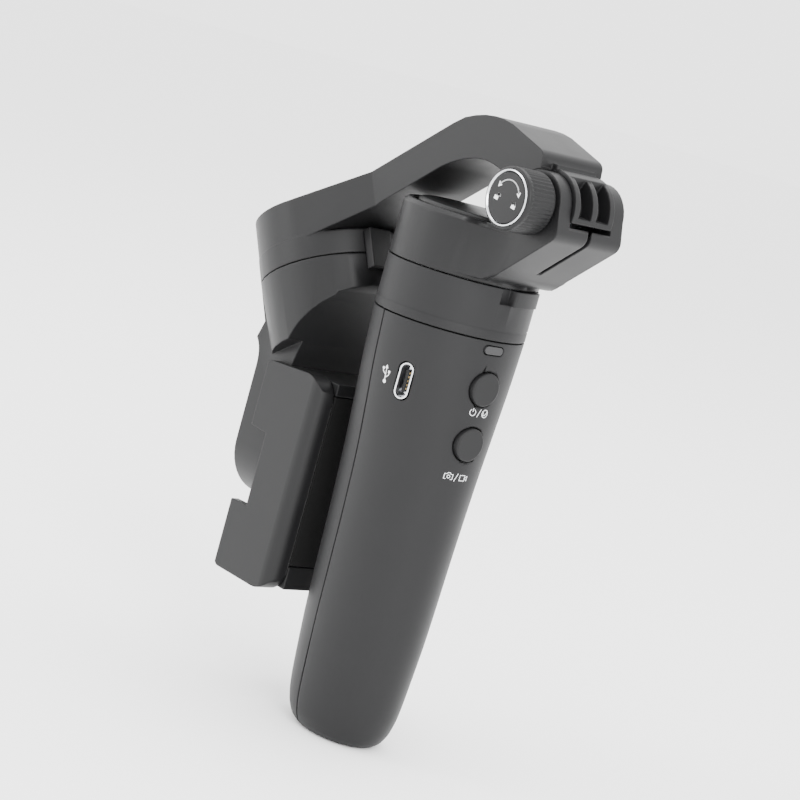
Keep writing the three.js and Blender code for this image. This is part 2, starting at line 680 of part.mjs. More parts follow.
// side outline of the arm, from the drum over the handle to the nose above the hinge
function armSide() {
  const at = (x, rise) => [x, seamZ + rise];
  const shape = new THREE.Shape();
  const c = new THREE.Vector3();
  const inRoll = (u, w) => {
    c.set(u, 0, w).applyMatrix4(rollFrame);
    return [c.x, c.z];
  };
  shape.moveTo(...inRoll(-drumRadius - 1, drumLedge));
  shape.lineTo(...inRoll(7.5, drumLedge));
  shape.lineTo(...at(-21.5, 19.8));
  shape.lineTo(...at(-6.2, 31.1));
  shape.quadraticCurveTo(...at(0.2, 35.2), ...at(6.2, 35.4));
  shape.quadraticCurveTo(...at(11.5, 35.2), ...at(hingeX - 9.6, hingeRise + 2.6));
  shape.lineTo(hingeX - earRadius - 0.9, hingeZ);
  shape.lineTo(hingeX, hingeZ);
  shape.lineTo(hingeX - 1.9, hingeZ + 7.4);
  shape.lineTo(hingeX - 2.1, hingeZ + 9.4);
  shape.quadraticCurveTo(hingeX - 2.4, hingeZ + 10.4, hingeX - 3.6, hingeZ + 10.8);
  shape.lineTo(...at(14, 43.3));
  shape.quadraticCurveTo(...at(6, 46.3), ...at(-3, 42.5));
  shape.lineTo(...at(-6, 40.6));
  shape.lineTo(...at(-24.8, 26.8));
  shape.quadraticCurveTo(...at(-28.6, 24.0), ...inRoll(5, drumHeight));
  shape.lineTo(...inRoll(-drumRadius + 1.6, drumHeight));
  shape.lineTo(...inRoll(-drumRadius - 1, drumHeight - 1.6));
  return shape;
}

// plan of the arm along the roll axis: a round end that narrows to the bar
function armPlan() {
  const shape = new THREE.Shape();
  const reach = drumRadius + 7;
  const radius = drumRadius - 0.15;
  const point = new THREE.Vector2(reach, armHalf);
  const tangent = point.angle() + Math.acos(radius / point.length());
  shape.moveTo(120, -armHalf);
  shape.lineTo(120, armHalf);
  shape.lineTo(reach, armHalf);
  shape.absarc(0, 0, radius, tangent, Math.PI * 2 - tangent, false);
  shape.lineTo(reach, -armHalf);
  return shape;
}

{
  const drum = bar(drumRadius, 0.5 * fitGap, drumLedge + 0.5, rollFrame, fine);
  const arm = prismY(armSide(), -20, 20, 6).intersect(prismZ(armPlan(), -40, 60, rollFrame, 20));
  const earRoom = bar(earRadius + runGap, -20, 20, hingeFrame, fine);
  const knuckle = bar(knuckleRadius, -knuckleHalf, knuckleHalf, hingeFrame, fine);
  const web = prismY(polygon([[hingeX - 9.5, hingeZ + 3], [hingeX - 7.2, hingeZ - 2.8], [hingeX, hingeZ],
    [hingeX - 0.5, hingeZ + 8.6], [hingeX - 5, hingeZ + 8.5]]), -knuckleHalf, knuckleHalf);
  const pockets = [];
  for (const centre of [-2.55, 2.55]) {
    const sector = new THREE.Shape();
    sector.absarc(0, 0, knuckleRadius + 1, -0.07, 1.12, false);
    sector.absarc(0, 0, 4.4, 1.12, -0.07, true);
    const place = new THREE.Matrix4().makeTranslation(hingeX, centre + 1.85, hingeZ).multiply(outlineXZ);
    pockets.push(extruded(sector, 3.7, place, 8));
  }
  const flat = box(hingeX + 2, hingeX + 12, -8, 8, hingeZ - 12, hingeZ - 1.6);
  const bore = bar(boltRadius + fitGap + 1.3 + fitGap, -20, 20, hingeFrame, medium);
  const cavity = motorCavity(rollMotor, rollMotorFrame);
  const tabShape = roundedRectangle(drumRadius - 0.6, drumRadius + 1.5, -6, 0, [0, 0, 0, 0]);
  const stopTab = prismZ(tabShape, drumLedge - 0.1 - 8.8, drumLedge, rollFrame);
  const tabRoom = bar(drumRadius + runGap, -20, 0.4, rollFrame, fine);
  const coverRecess = prismY(armCoverShape(fitGap), armHalf - 1.2 - fitGap, armHalf + 5, 5);
  const wireway = prismY(armCoverShape(-1.4), armHalf - 4.5, armHalf + 5, 5);
  const body = cut(join(cut(arm, earRoom), drum), cavity);
  const whole = join(body, motorBoss(rollMotor, rollMotorFrame), cut(stopTab, tabRoom), knuckle, web);
  add('fold_arm', 'arm', cut(whole, ...pockets, flat, bore, coverRecess, wireway));
  add('fold_arm_cover', 'arm', prismY(armCoverShape(0), armHalf - 1.2, armHalf, 5));
  add('hinge_bush', 'steel',
    ring(boltRadius + fitGap, boltRadius + fitGap + 1.3, -knuckleHalf, knuckleHalf, hingeFrame, medium));
}

// long cover that closes the wireway on the arm's far side
function armCoverShape(grow) {
  const slope = Math.atan2(11.3, 15.3);
  const along = new THREE.Vector2(Math.cos(slope), Math.sin(slope));
  const across = new THREE.Vector2(-Math.sin(slope), Math.cos(slope));
  const middle = new THREE.Vector2(-12.3, seamZ + 31.2);
  const halfLength = 12 + grow;
  const half = armThickness / 2 - 1.5 + grow;
  const corners = [[-halfLength, -half], [halfLength, -half], [halfLength, half], [-halfLength, half]];
  return polygon(corners.map(([l, w]) => [
    middle.x + along.x * l + across.x * w, middle.y + along.y * l + across.y * w,
  ]));
}

addMotor('roll', rollMotor, rollMotorFrame, 2.2);

// ---------------------------------------------------------------- roll arm

function rollArmSide() {
  const inRoll = (u, w) => {
    const p = new THREE.Vector3(u, 0, w).applyMatrix4(rollFrame);
    return [p.x, p.z];
  };
  const shape = new THREE.Shape();
  shape.moveTo(...inRoll(20, 0));
  shape.lineTo(...inRoll(-20, 0));
  shape.lineTo(...inRoll(-20, -rollRotorHeight));
  shape.lineTo(rollArmOuterX - 3.6, seamZ - 17.2);
  shape.quadraticCurveTo(rollArmOuterX, seamZ - 19, rollArmOuterX, seamZ - 24);
  shape.lineTo(rollArmOuterX, tiltZ - 20);
  shape.lineTo(rollArmInnerX, tiltZ - 20);
  shape.lineTo(rollArmInnerX, seamZ - 21);
  shape.quadraticCurveTo(-30.4, seamZ - 9, ...inRoll(rollRotorRadius, -rollRotorHeight + 0.5));
  shape.lineTo(...inRoll(20, -rollRotorHeight + 3.5));
  return shape;
}

{
  const outline = new THREE.Shape();
  outline.moveTo(-rollArmHalf, tiltZ);
  outline.absarc(0, tiltZ, rollArmHalf, Math.PI, Math.PI * 2, false);
  outline.lineTo(rollArmHalf, seamZ + 20);
  outline.lineTo(-rollArmHalf, seamZ + 20);
  const drum = bar(rollRotorRadius, -rollRotorHeight - 8, -0.5 * fitGap, rollFrame, fine, drumRadius);
  const side = prismY(rollArmSide(), -20, 20, 8);
  const slab = prismX(outline, -60, 0, 12).intersect(side);
  const drumPart = drum.intersect(side);
  const drumRoom = bar(drumRadius + 3, -0.5 * fitGap, 40, rollFrame, fine);
  const within = bar(drumRadius, -rollRotorHeight - 0.1, 5, rollFrame, fine);
  const flare = bar(drumRadius + flareDepth, -rollRotorHeight - flareDepth, -rollRotorHeight, rollFrame, fine,
    drumRadius);
  const slabPart = slab.intersect(join(within, flare));
  const cavity = motorCavity(tiltMotor, tiltFrame);
  const capRecess = bar(tiltMotor.cavityRadius - 0.4, rollArmOuterX - rollArmInnerX - 1,
    rollArmOuterX - rollArmInnerX + 1.4, tiltFrame, fine);
  const shaftHole = bar(rollMotor.shaftRadius + fitGap, -1, 3, rollMotorFrame, medium);
  const body = cut(join(drumPart, slabPart), drumRoom, cavity, capRecess, shaftHole);
  add('roll_arm', 'arm', join(body, motorBoss(tiltMotor, tiltFrame)));
  add('tilt_end_cap', 'arm', bar(tiltMotor.cavityRadius - 0.4 - fitGap, rollArmOuterX - rollArmInnerX,
    rollArmOuterX - rollArmInnerX + 1.4 - fitGap, tiltFrame, fine));
}

addMotor('tilt', tiltMotor, tiltFrame, 2.4);

// ---------------------------------------------------------------- phone clamp

const bodyLowY = plateFaceY + plateThickness + fitGap;
const jawTopZ = clampBottomZ + 1.2 + slidingJawThickness;
const bodyTopZ = clampTopZ - 0.6;
const bodyLowZ = jawTopZ + fitGap;
const lipY = phoneRestY + phoneGap;
const restPadLowY = phoneRestY - padThickness;
const rodX = (clampBodyLeftX + clampRightX - padThickness) / 2;
const rodYs = { front: -4.6, rear: 7.6 };
const rodTopZ = bodyTopZ - 6;

// plan of a jaw: beyond the phone rest its left side leans away from the roll motor's drum
function jawPlan() {
  const end = lipY + lipThickness;
  return polygon([[clampBodyLeftX, bodyLowY], [clampRightX, bodyLowY], [clampRightX, end],
    [clampBodyLeftX + jawRelief, end], [clampBodyLeftX, phoneRestY]]);
}

function jawPlate(z0, z1) {
  return prismZ(jawPlan(), z0, z1);
}

function jawLip(z0, z1) {
  return jawPlate(z0, z1).intersect(box(-60, 0, lipY, lipY + lipThickness, z0, z1));
}

function jawPad(z0) {
  return box(clampBodyLeftX + jawRelief + 0.4, clampRightX - 0.8, phoneRestY + 0.8, lipY - 0.6,
    z0, z0 + padThickness);
}

// body: holds the tilt hub, the fixed jaw and the upper ends of the springs
{
  const block = box(clampBodyLeftX, clampRightX - padThickness - fitGap, bodyLowY, restPadLowY - fitGap,
    bodyLowZ, bodyTopZ);
  const jaw = jawPlate(bodyTopZ - fixedJawThickness, bodyTopZ);
  const lip = jawLip(bodyTopZ - fixedJawThickness - lipReach, bodyTopZ);
  const hubEnd = clampBodyLeftX - rollArmInnerX;
  const hubPlate = bar(tiltMotor.cavityRadius, fitGap, hubEnd - fitGap, tiltFrame, fine);
  const neck = bar(-bodyLowY - fitGap, fitGap, hubEnd + 0.5, tiltFrame, fine);
  const hub = join(hubPlate, neck);
  const shaftHole = bar(tiltMotor.shaftRadius + fitGap, -1, 2.4 + fitGap, tiltFrame, medium);
  const rodHoles = [];
  for (const y of Object.values(rodYs)) {
    const place = new THREE.Matrix4().makeTranslation(rodX, y, 0);
    rodHoles.push(bar(tubeRadius + runGap, bodyLowZ - 1, rodTopZ + fitGap, place, medium));
  }
  const corner = box(-60, 0, lipY + lipThickness - 1.4, lipY + 9, bodyTopZ - 0.9, bodyTopZ + 5);
  const whole = join(block, jaw, lip, hub);
  add('clamp_body', 'arm', cut(whole, shaftHole, corner, ...rodHoles));
}

// back plate with its flanges beside the roll arm
function plateOutline() {
  const shape = new THREE.Shape();
  const [right, left] = [clampRightX, flangeLeftX];
  const [topZ, lowZ] = [clampTopZ, clampBottomZ];
  const waistTop = seamZ - waistTopDrop;
  const waistLow = waistTop - waistHeight;
  const big = 5.5;
  const small = 1.8;
  shape.moveTo(left + small, lowZ);
  shape.lineTo(right - big, lowZ);
  shape.absarc(right - big, lowZ + big, big, -Math.PI / 2, 0, false);
  shape.absarc(right - big, topZ - big, big, 0, Math.PI / 2, false);
  shape.lineTo(left + small, topZ - 0.9);
  shape.absarc(left + small, topZ - 0.9 - small, small, Math.PI / 2, Math.PI, false);
  shape.lineTo(left, waistTop + 0.6);
  shape.lineTo(left + 0.6, waistTop);
  shape.lineTo(waistLeftX, waistTop - 0.2);
  shape.lineTo(waistLeftX, waistLow + 0.2);
  shape.lineTo(left + 0.6, waistLow);
  shape.lineTo(left, waistLow - 0.6);
  shape.absarc(left + small, lowZ + small, small, Math.PI, Math.PI * 1.5, false);
  return shape;
}

function platePlan() {
  const shape = new THREE.Shape();
  const back = plateFaceY + plateThickness;
  const round = 3.2;
  shape.moveTo(flangeLeftX, plateFaceY + 0.4);
  shape.lineTo(flangeLeftX + 0.4, plateFaceY);
  shape.lineTo(clampRightX - round, plateFaceY);
  shape.absarc(clampRightX - round, plateFaceY + round, round, -Math.PI / 2, 0, false);
  shape.lineTo(clampRightX, back);
  shape.lineTo(clampBodyLeftX, back);
  shape.lineTo(clampBodyLeftX, plateFaceY + flangeThickness);
  shape.lineTo(flangeLeftX, plateFaceY + flangeThickness);
  return shape;
}

{
  const plan = prismZ(platePlan(), clampBottomZ - 5, clampTopZ + 5, up, 5);
  add('clamp_back_plate', 'arm', prismY(plateOutline(), -20, 0, 5).intersect(plan));
}

// rubber pads: on the body's end, where the phone rests, and on the jaws
{
  add('clamp_side_pad', 'pad', box(clampRightX - padThickness, clampRightX, bodyLowY, phoneRestY,
    bodyLowZ, bodyTopZ - fixedJawThickness - fitGap));
}

// sliding jaw on two guide tubes, each with a tension spring inside that hangs from the body's top
const jawLowZ = clampBottomZ + 1.2;
const tubeLowZ = jawLowZ + 1.6;
for (const [name, y] of Object.entries(rodYs)) {
  const place = new THREE.Matrix4().makeTranslation(rodX, y, 0);
  add(`${name}_guide_tube`, 'steel',
    ring(tubeRadius - tubeWall, tubeRadius, tubeLowZ, rodTopZ - tubeClearOfTop, place, coarse));
  add(`${name}_clamp_spring`, 'steel',
    ring(springRadius - springWire, springRadius, tubeLowZ, rodTopZ, place, coarse));
}

{
  const holes = [];
  for (const y of Object.values(rodYs)) {
    const place = new THREE.Matrix4().makeTranslation(rodX, y, 0);
    holes.push(bar(tubeRadius + fitGap, tubeLowZ - fitGap, jawTopZ + 1, place, medium));
  }
  const jaw = join(jawPlate(jawLowZ, jawTopZ), jawLip(jawLowZ, jawTopZ + lipReach));
  add('sliding_jaw', 'arm', cut(jaw, ...holes));
  const padGap = 0.8;
  const lowPadZ = jawTopZ + fitGap;
  const highPadZ = bodyTopZ - fixedJawThickness - fitGap - padThickness;
  add('sliding_jaw_pad', 'pad', jawPad(lowPadZ));
  add('fixed_jaw_pad', 'pad', jawPad(highPadZ));
  add('phone_rest_pad', 'pad', box(clampBodyLeftX + padGap, clampRightX - 2 * padThickness - padGap,
    restPadLowY, phoneRestY, lowPadZ + padThickness + padGap, highPadZ - padGap));
}

export default gimbal;
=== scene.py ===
import json
import math

import bmesh
import bpy
from mathutils import Matrix, Vector


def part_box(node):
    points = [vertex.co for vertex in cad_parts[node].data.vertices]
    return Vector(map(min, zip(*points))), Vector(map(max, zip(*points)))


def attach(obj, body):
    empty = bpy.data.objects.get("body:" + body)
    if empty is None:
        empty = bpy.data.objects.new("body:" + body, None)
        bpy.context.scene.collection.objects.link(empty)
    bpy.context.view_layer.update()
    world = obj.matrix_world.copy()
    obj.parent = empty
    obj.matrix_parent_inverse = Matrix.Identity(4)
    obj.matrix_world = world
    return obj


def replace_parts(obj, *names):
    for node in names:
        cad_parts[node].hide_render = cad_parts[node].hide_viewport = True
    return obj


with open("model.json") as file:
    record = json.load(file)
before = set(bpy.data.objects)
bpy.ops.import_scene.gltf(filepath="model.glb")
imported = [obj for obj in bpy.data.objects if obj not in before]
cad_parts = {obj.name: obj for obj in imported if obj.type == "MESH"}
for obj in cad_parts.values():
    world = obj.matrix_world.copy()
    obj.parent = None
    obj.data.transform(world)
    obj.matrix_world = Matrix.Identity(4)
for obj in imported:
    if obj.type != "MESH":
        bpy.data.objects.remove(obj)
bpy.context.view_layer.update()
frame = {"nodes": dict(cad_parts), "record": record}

# Folding camera gimbal. Metres, in the CAD frame: the handle stands on its foot along +Z, the hinge and
# the buttons are on the +X side, the locking knob and the socket on the -Y side.

MM = 0.001

# Places that the frame gives
HANDLE_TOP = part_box("handle_shell")[1].z
KNOB_NEAR = -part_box("hinge_knob")[1].y
KNOB_FAR = -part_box("hinge_knob")[0].y

PARTING_X = -3 * MM
PARTING_GAP = 0.12 * MM
GRIP_LENGTH = 93 * MM
GRIP_WALL = 1.8 * MM
GRIP_FLOOR = 3 * MM
FOOT_BORE_RADIUS = 4.9 * MM
# Sections of the grip: share of its length, half depth along X and half width along Y in millimetres
GRIP = [
    (0, 10.4, 8.0), (0.012, 11.7, 9.1), (0.04, 13.0, 10.2), (0.085, 13.9, 10.9), (0.16, 14.5, 11.4),
    (0.28, 15.2, 12.0), (0.5, 15.8, 12.6), (0.65, 16.2, 13.3), (0.78, 16.45, 14.5), (0.89, 16.5, 15.7),
    (1, 16.5, 16.5),
]


# ---------------------------------------------------------------- materials


DRIFT_SIZE = 9 * MM
RELIEF_DEPTH = 0.05 * MM
GLOSS_SWING = 0.05
METAL_SPECULAR = 0.5


def surface(name, colour, roughness, metallic=0.0, grain_size=0.25 * MM, mottle=0.12,
            bump=0.12, edge=0.25 * MM, coat=0.0, brushed=None, specular=0.3):
    """Moulded, turned or plated finish: fine grain in the relief, a slow drift in colour and gloss, and
    edges rounded by the shading."""
    material = bpy.data.materials.new(name)
    material.use_nodes = True
    tree = material.node_tree
    shader = tree.nodes["Principled BSDF"]
    shader.inputs["Metallic"].default_value = metallic
    shader.inputs["Coat Weight"].default_value = coat
    shader.inputs["Specular IOR Level"].default_value = METAL_SPECULAR if metallic else specular
    place = tree.nodes.new("ShaderNodeTexCoord")

    slow = tree.nodes.new("ShaderNodeTexNoise")
    slow.inputs["Scale"].default_value = 1 / DRIFT_SIZE
    slow.inputs["Detail"].default_value = 3
    tree.links.new(place.outputs["Object"], slow.inputs["Vector"])

    tone = tree.nodes.new("ShaderNodeMapRange")
    tone.inputs["To Min"].default_value = 1 - mottle
    tone.inputs["To Max"].default_value = 1 + mottle
    tree.links.new(slow.outputs["Fac"], tone.inputs["Value"])
    shade = tree.nodes.new("ShaderNodeMix")
    shade.data_type = "RGBA"
    shade.blend_type = "MULTIPLY"
    shade.inputs["Factor"].default_value = 1
    shade.inputs["A"].default_value = (*colour, 1)
    tree.links.new(tone.outputs["Result"], shade.inputs["B"])
    tree.links.new(shade.outputs["Result"], shader.inputs["Base Color"])

    fine = tree.nodes.new("ShaderNodeTexNoise")
    fine.inputs["Scale"].default_value = 1 / grain_size
    fine.inputs["Detail"].default_value = 2
    if brushed:
        stretch = tree.nodes.new("ShaderNodeMapping")
        stretch.inputs["Scale"].default_value = brushed
        tree.links.new(place.outputs["Object"], stretch.inputs["Vector"])
        tree.links.new(stretch.outputs["Vector"], fine.inputs["Vector"])
    else:
        tree.links.new(place.outputs["Object"], fine.inputs["Vector"])

    gloss = tree.nodes.new("ShaderNodeMapRange")
    gloss.inputs["To Min"].default_value = roughness - GLOSS_SWING
    gloss.inputs["To Max"].default_value = roughness + GLOSS_SWING
    tree.links.new(slow.outputs["Fac"], gloss.inputs["Value"])
    tree.links.new(gloss.outputs["Result"], shader.inputs["Roughness"])

    rounding = tree.nodes.new("ShaderNodeBevel")
    rounding.samples = 6
    rounding.inputs["Radius"].default_value = edge
    relief = tree.nodes.new("ShaderNodeBump")
    relief.inputs["Strength"].default_value = bump
    relief.inputs["Distance"].default_value = RELIEF_DEPTH
    tree.links.new(fine.outputs["Fac"], relief.inputs["Height"])
    tree.links.new(rounding.outputs["Normal"], relief.inputs["Normal"])
    tree.links.new(relief.outputs["Normal"], shader.inputs["Normal"])
    return material


ALONG_TURNING = (1, 1, 0.08)
LOOKS = {
    name: surface(name, colour, roughness, **finish) for name, colour, roughness, finish in (
        ("shell_plastic", (0.0085, 0.0085, 0.009), 0.5, {"bump": 0.22, "specular": 0.2, "edge": 0.3 * MM}),
        ("arm_plastic", (0.0062, 0.0062, 0.0066), 0.44, {"bump": 0.2, "specular": 0.22, "edge": 0.5 * MM}),
        ("button_plastic", (0.0072, 0.0072, 0.0076), 0.52, {"bump": 0.25, "specular": 0.2}),
        ("black_rubber", (0.004, 0.004, 0.004), 0.8,
         {"specular": 0.15, "bump": 0.4, "grain_size": 0.4 * MM}),
        ("socket_metal", (0.74, 0.75, 0.77), 0.28,
         {"metallic": 1, "bump": 0.1, "edge": 0.1 * MM, "brushed": (1, 1, 0.1)}),
        ("steel", (0.5, 0.51, 0.53), 0.3,
         {"metallic": 1, "bump": 0.12, "edge": 0.15 * MM, "brushed": ALONG_TURNING}),
        ("motor_core", (0.16, 0.1, 0.06), 0.5, {"metallic": 0.4, "brushed": (1, 1, 12)}),
        ("magnet", (0.3, 0.31, 0.33), 0.35, {"metallic": 0.9}),
        ("circuit_board", (0.02, 0.13, 0.05), 0.4, {"mottle": 0.2, "coat": 0.3}),
        ("battery_wrap", (0.05, 0.16, 0.42), 0.35, {"coat": 0.4}),
        ("brass", (0.7, 0.5, 0.22), 0.32, {"metallic": 1, "brushed": ALONG_TURNING}),
        ("lamp_lens", (0.022, 0.022, 0.023), 0.4, {}),
    )
}
# The printed marks are ink on the plastic, and the knob has a polished rim
INK = surface("white_ink", (0.75, 0.76, 0.77), 0.55, mottle=0.04, bump=0.15, edge=0.02 * MM)
RIM_METAL = surface("polished_rim", (0.62, 0.63, 0.65), 0.2, metallic=1, bump=0.05, edge=0.05 * MM)


# ---------------------------------------------------------------- mesh tools


TINY = 1e-7
WELD = 1e-6
EDGE_ANGLE = 38
COPY_SHARP = 34


def piece(name, bm, body, slot, sharp=32, material=None, merge=True):
    """Makes the object, shades it smooth up to the sharp angle, and rides it on its body if it has one."""
    if merge:
        bmesh.ops.remove_doubles(bm, verts=bm.verts, dist=WELD)
    bmesh.ops.recalc_face_normals(bm, faces=bm.faces)
    mesh = bpy.data.meshes.new(name)
    bm.to_mesh(mesh)
    bm.free()
    obj = bpy.data.objects.new(name, mesh)
    bpy.context.scene.collection.objects.link(obj)
    mesh.materials.append(material or LOOKS[slot])
    shade(obj, sharp)
    if body:
        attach(obj, body)
    return obj


def shade(obj, sharp):
    for face in obj.data.polygons:
        face.use_smooth = True
    obj.data.set_sharp_from_angle(angle=math.radians(sharp))


def apply_modifiers(obj):
    bpy.context.view_layer.update()
    seen = obj.evaluated_get(bpy.context.evaluated_depsgraph_get())
    mesh = bpy.data.meshes.new_from_object(seen)
    obj.modifiers.clear()
    obj.data = mesh


def cut(obj, cutters):
    """Takes the cutters out of the object, and removes them."""
    for cutter in cutters:
        step = obj.modifiers.new("cut", "BOOLEAN")
        step.object = cutter
        step.operation = "DIFFERENCE"
        step.solver = "EXACT"
    apply_modifiers(obj)
    for cutter in cutters:
        bpy.data.objects.remove(cutter)


def bevel_edges(bm, width, angle):
    edges = [e for e in bm.edges if len(e.link_faces) == 2 and e.calc_face_angle(0) > math.radians(angle)]
    bmesh.ops.bevel(bm, geom=edges, offset=width, segments=2, profile=0.5, affect="EDGES",
                    clamp_overlap=False)


def weighted(obj):
    step = obj.modifiers.new("normals", "WEIGHTED_NORMAL")
    step.keep_sharp = True
    step.weight = 50
    return obj


def rounded(points, radius, steps=4):
    """The points between a profile's two ends as curved corners."""
    result = [Vector(points[0])]
    for before, corner, after in zip(points, points[1:], points[2:]):
        corner = Vector(corner)
        to_before = Vector(before) - corner
        to_after = Vector(after) - corner
        reach = min(radius, to_before.length * 0.45, to_after.length * 0.45)
        start = corner + to_before.normalized() * reach
        end = corner + to_after.normalized() * reach
        for i in range(steps + 1):
            t = i / steps
            result.append(start * (1 - t) ** 2 + corner * (2 * t * (1 - t)) + end * t ** 2)
    result.append(Vector(points[-1]))
    return result


def turn(profile, place=Matrix.Identity(4), segments=96, wave=None):
    """Solid of revolution about the place's +Z, from a profile of (radius, height) that meets the axis."""
    bm = bmesh.new()
    rings = []
    for radius, height in profile:
        if radius < TINY:
            rings.append([bm.verts.new(place @ Vector((0, 0, height)))])
            continue
        ring = []
        for i in range(segments):
            angle = 2 * math.pi * i / segments
            r = radius + (wave(angle, height) if wave else 0)
            ring.append(bm.verts.new(place @ Vector((r * math.cos(angle), r * math.sin(angle), height))))
        rings.append(ring)
    for low, high in zip(rings, rings[1:]):
        for i in range(segments):
            j = (i + 1) % segments
            corners = [low[i % len(low)], low[j % len(low)], high[j % len(high)], high[i % len(high)]]
            corners = list(dict.fromkeys(corners))
            if len(corners) > 2:
                bm.faces.new(corners)
    return bm


def prism(outline, low, high, place=Matrix.Identity(4), bevel=0.0):
    """Flat outline of (x, y) between two heights of the place's +Z."""
    bm = bmesh.new()
    bottom = [bm.verts.new(place @ Vector((x, y, low))) for x, y in outline]
    top = [bm.verts.new(place @ Vector((x, y, high))) for x, y in outline]
    bm.faces.new(bottom[::-1])
    bm.faces.new(top)
    for i in range(len(outline)):
        j = (i + 1) % len(outline)
        bm.faces.new([bottom[i], bottom[j], top[j], top[i]])
    if bevel:
        bevel_edges(bm, bevel, 60)
    return bm


def pill(width, height, steps=10):
    """Outline of a slot with round ends, long side along y if height is larger."""
    r = min(width, height) / 2
    dx, dy = width / 2 - r, height / 2 - r
    outline = []
    for quarter, (sx, sy) in enumerate(((1, 1), (-1, 1), (-1, -1), (1, -1))):
        for i in range(steps + 1):
            angle = math.pi / 2 * (quarter + i / steps)
            point = (sx * dx + r * math.cos(angle), sy * dy + r * math.sin(angle))
            if not outline or (Vector(point) - Vector(outline[-1])).length > TINY:
                outline.append(point)
    if (Vector(outline[0]) - Vector(outline[-1])).length < TINY:
        outline.pop()
    return outline


def refined(node, width):
    """A finer copy of a CAD node: its flat faces made whole, its edges rounded if there is a width, and its
    round faces smooth."""
    source = frame["nodes"][node]
    slot = slot_of[node]
    bm = bmesh.new()
    bm.from_mesh(source.data)
    bmesh.ops.remove_doubles(bm, verts=bm.verts, dist=2 * WELD)
    bmesh.ops.dissolve_limit(bm, angle_limit=math.radians(0.8), verts=bm.verts, edges=bm.edges)
    if width:
        bevel_edges(bm, width, EDGE_ANGLE)
    obj = piece(f"{node}_moulded", bm, body_of[node], slot, COPY_SHARP)
    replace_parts(obj, node)
    return weighted(obj)


slot_of = {entry["node"]: entry["material_slot"] for entry in frame["record"]["subparts"]}
body_of = {node: body for body, nodes in frame["record"]["behaviour"]["bodies"].items() for node in nodes}


# ---------------------------------------------------------------- camera


CAMERA_ANGLES = (47, 9, 15.6)
CAMERA_TARGET = Vector((-8.35, 0, 72.9)) * MM
CAMERA_DISTANCE = 518.4 * MM
CAMERA_LENS = 108


def aim_camera():
    """The photograph's view: from the knob and button corner, a little above, with the handle leaning."""
    azimuth, elevation, roll = (math.radians(v) for v in CAMERA_ANGLES)
    back = Vector((math.sin(azimuth) * math.cos(elevation), -math.cos(azimuth) * math.cos(elevation),
                   math.sin(elevation)))
    right = Vector((math.cos(azimuth), math.sin(azimuth), 0))
    up = back.cross(right)
    turned_right = right * math.cos(roll) + up * math.sin(roll)
    turned_up = up * math.cos(roll) - right * math.sin(roll)
    data = bpy.data.cameras.new("camera")
    data.lens = CAMERA_LENS
    data.sensor_width = 36
    data.clip_start = 0.01
    camera = bpy.data.objects.new("camera", data)
    bpy.context.scene.collection.objects.link(camera)
    basis = Matrix((turned_right, turned_up, back)).transposed().to_4x4()
    camera.matrix_world = Matrix.Translation(CAMERA_TARGET + back * CAMERA_DISTANCE) @ basis
    bpy.context.scene.camera = camera


aim_camera()


# ---------------------------------------------------------------- handle


def grip_at(height):
    """Half depth and half width of the grip, on a smooth curve through its sections."""
    share = min(max(height / GRIP_LENGTH, 0), 1)
    i = 1
    while i < len(GRIP) - 1 and GRIP[i][0] < share:
        i += 1
    s0, s1 = GRIP[i - 1][0], GRIP[i][0]
    t = (share - s0) / (s1 - s0)

    def slope(k, c):
        if k == 0 or k == len(GRIP) - 1:
            a, b = (0, 1) if k == 0 else (k - 1, k)
            return (GRIP[b][c] - GRIP[a][c]) / (GRIP[b][0] - GRIP[a][0])
        left = (GRIP[k][c] - GRIP[k - 1][c]) / (GRIP[k][0] - GRIP[k - 1][0])
        right = (GRIP[k + 1][c] - GRIP[k][c]) / (GRIP[k + 1][0] - GRIP[k][0])
        return 2 * left * right / (left + right) if left * right > 0 else 0

    def value(c):
        width = s1 - s0
        return (GRIP[i - 1][c] * (1 + 2 * t) * (1 - t) ** 2 + width * slope(i - 1, c) * t * (1 - t) ** 2
                + GRIP[i][c] * t * t * (3 - 2 * t) + width * slope(i, c) * t * t * (t - 1))

    return value(1) * MM, value(2) * MM


def grip_skin(inset, low, high, around=128, up=90):
    bm = bmesh.new()
    rings = []
    for k in range(up + 1):
        share = (k / up) ** 1.6
        z = low + (high - low) * share
        a, b = grip_at(z)
        ring = []
        for i in range(around):
            angle = 2 * math.pi * (i + 0.5) / around
            ring.append(bm.verts.new(((a - inset) * math.cos(angle), (b - inset) * math.sin(angle), z)))
        rings.append(ring)
    for lower, upper in zip(rings, rings[1:]):
        for i in range(around):
            j = (i + 1) % around
            bm.faces.new([lower[i], lower[j], upper[j], upper[i]])
    bm.faces.new(rings[0][::-1])
    bm.faces.new(rings[-1])
    return bm


def half_room(side):
    """Block that holds everything on the other side of the parting plane."""
    edge = PARTING_X + PARTING_GAP * side
    x0, x1 = (edge - 60 * MM, edge) if side > 0 else (edge, edge + 60 * MM)
    outline = [(x0, -40 * MM), (x1, -40 * MM), (x1, 40 * MM), (x0, 40 * MM)]
    return piece("room", prism(outline, -5 * MM, 100 * MM), None, None, material=INK)


def surface_place(azimuth, depth):
    """Frame on the grip at an azimuth from -Y towards +X: +Z out, +Y up."""
    angle = math.radians(azimuth)
    out = Vector((math.sin(angle), -math.cos(angle), 0))
    a, b = grip_at(GRIP_LENGTH - depth)
    reach = 1 / math.hypot(out.x / a, out.y / b)
    side = Vector((0, 0, 1)).cross(out)
    basis = Matrix((side, Vector((0, 0, 1)), out)).transposed().to_4x4()
    return Matrix.Translation(out * reach + Vector((0, 0, GRIP_LENGTH - depth))) @ basis


